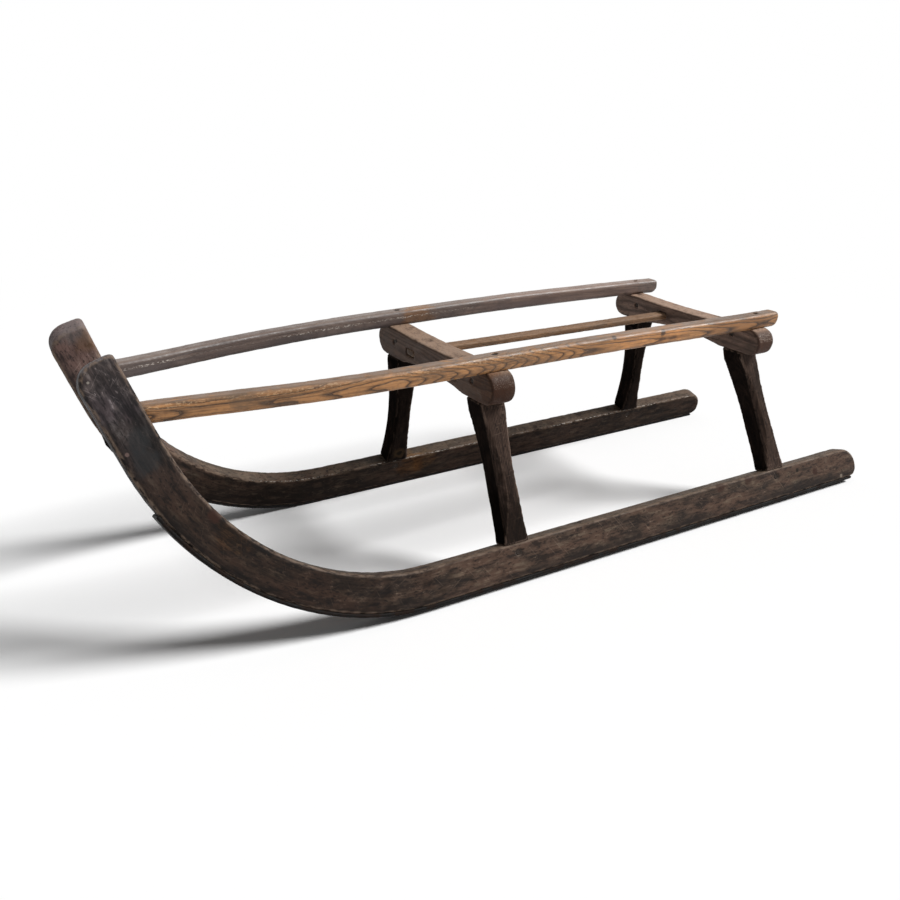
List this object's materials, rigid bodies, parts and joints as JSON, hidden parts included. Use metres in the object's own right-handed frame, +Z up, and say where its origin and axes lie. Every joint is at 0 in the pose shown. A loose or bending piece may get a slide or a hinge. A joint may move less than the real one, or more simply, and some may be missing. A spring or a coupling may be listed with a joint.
{
  "type": "wooden sled",
  "caption": "Old low wooden sled with splayed plank runners bent up into tall uprights, waisted legs, arched crossbars, bent side rails, thin seat slats and iron shoes.",
  "frame": {"origin": "on the floor, under the middle of the sled's box", "axes": "+X forward to the uprights, +Y to the sled's left, +Z up"},
  "size_m": [1.0408, 0.353, 0.3172],
  "materials": {
    "dark_wood": "old dark oiled hardwood, worn and stained",
    "leg_wood": "old near-black hardwood",
    "bar_wood": "old brown hardwood, bleached on top",
    "rail_wood": "hand-polished ash with strong grain",
    "slat_wood": "weathered brown hardwood",
    "peg_wood": "dark end grain",
    "iron": "dull wrought iron, rust-brown"
  },
  "bodies": {
    "root": {"runner_left": "dark_wood", "shoe_left": "iron", "rail_left": "rail_wood", "slat_left": "slat_wood", "leg_front_left": "leg_wood", "foot_peg_front_left": "peg_wood", "head_peg_front_left": "peg_wood", "rail_peg_front_left": "peg_wood", "leg_rear_left": "leg_wood", "foot_peg_rear_left": "peg_wood", "head_peg_rear_left": "peg_wood", "rail_peg_rear_left": "peg_wood", "runner_right": "dark_wood", "shoe_right": "iron", "rail_right": "rail_wood", "slat_right": "slat_wood", "leg_front_right": "leg_wood", "foot_peg_front_right": "peg_wood", "head_peg_front_right": "peg_wood", "rail_peg_front_right": "peg_wood", "leg_rear_right": "leg_wood", "foot_peg_rear_right": "peg_wood", "head_peg_rear_right": "peg_wood", "rail_peg_rear_right": "peg_wood", "crossbar_front": "bar_wood", "crossbar_rear": "bar_wood"}
  },
  "joints": []
}
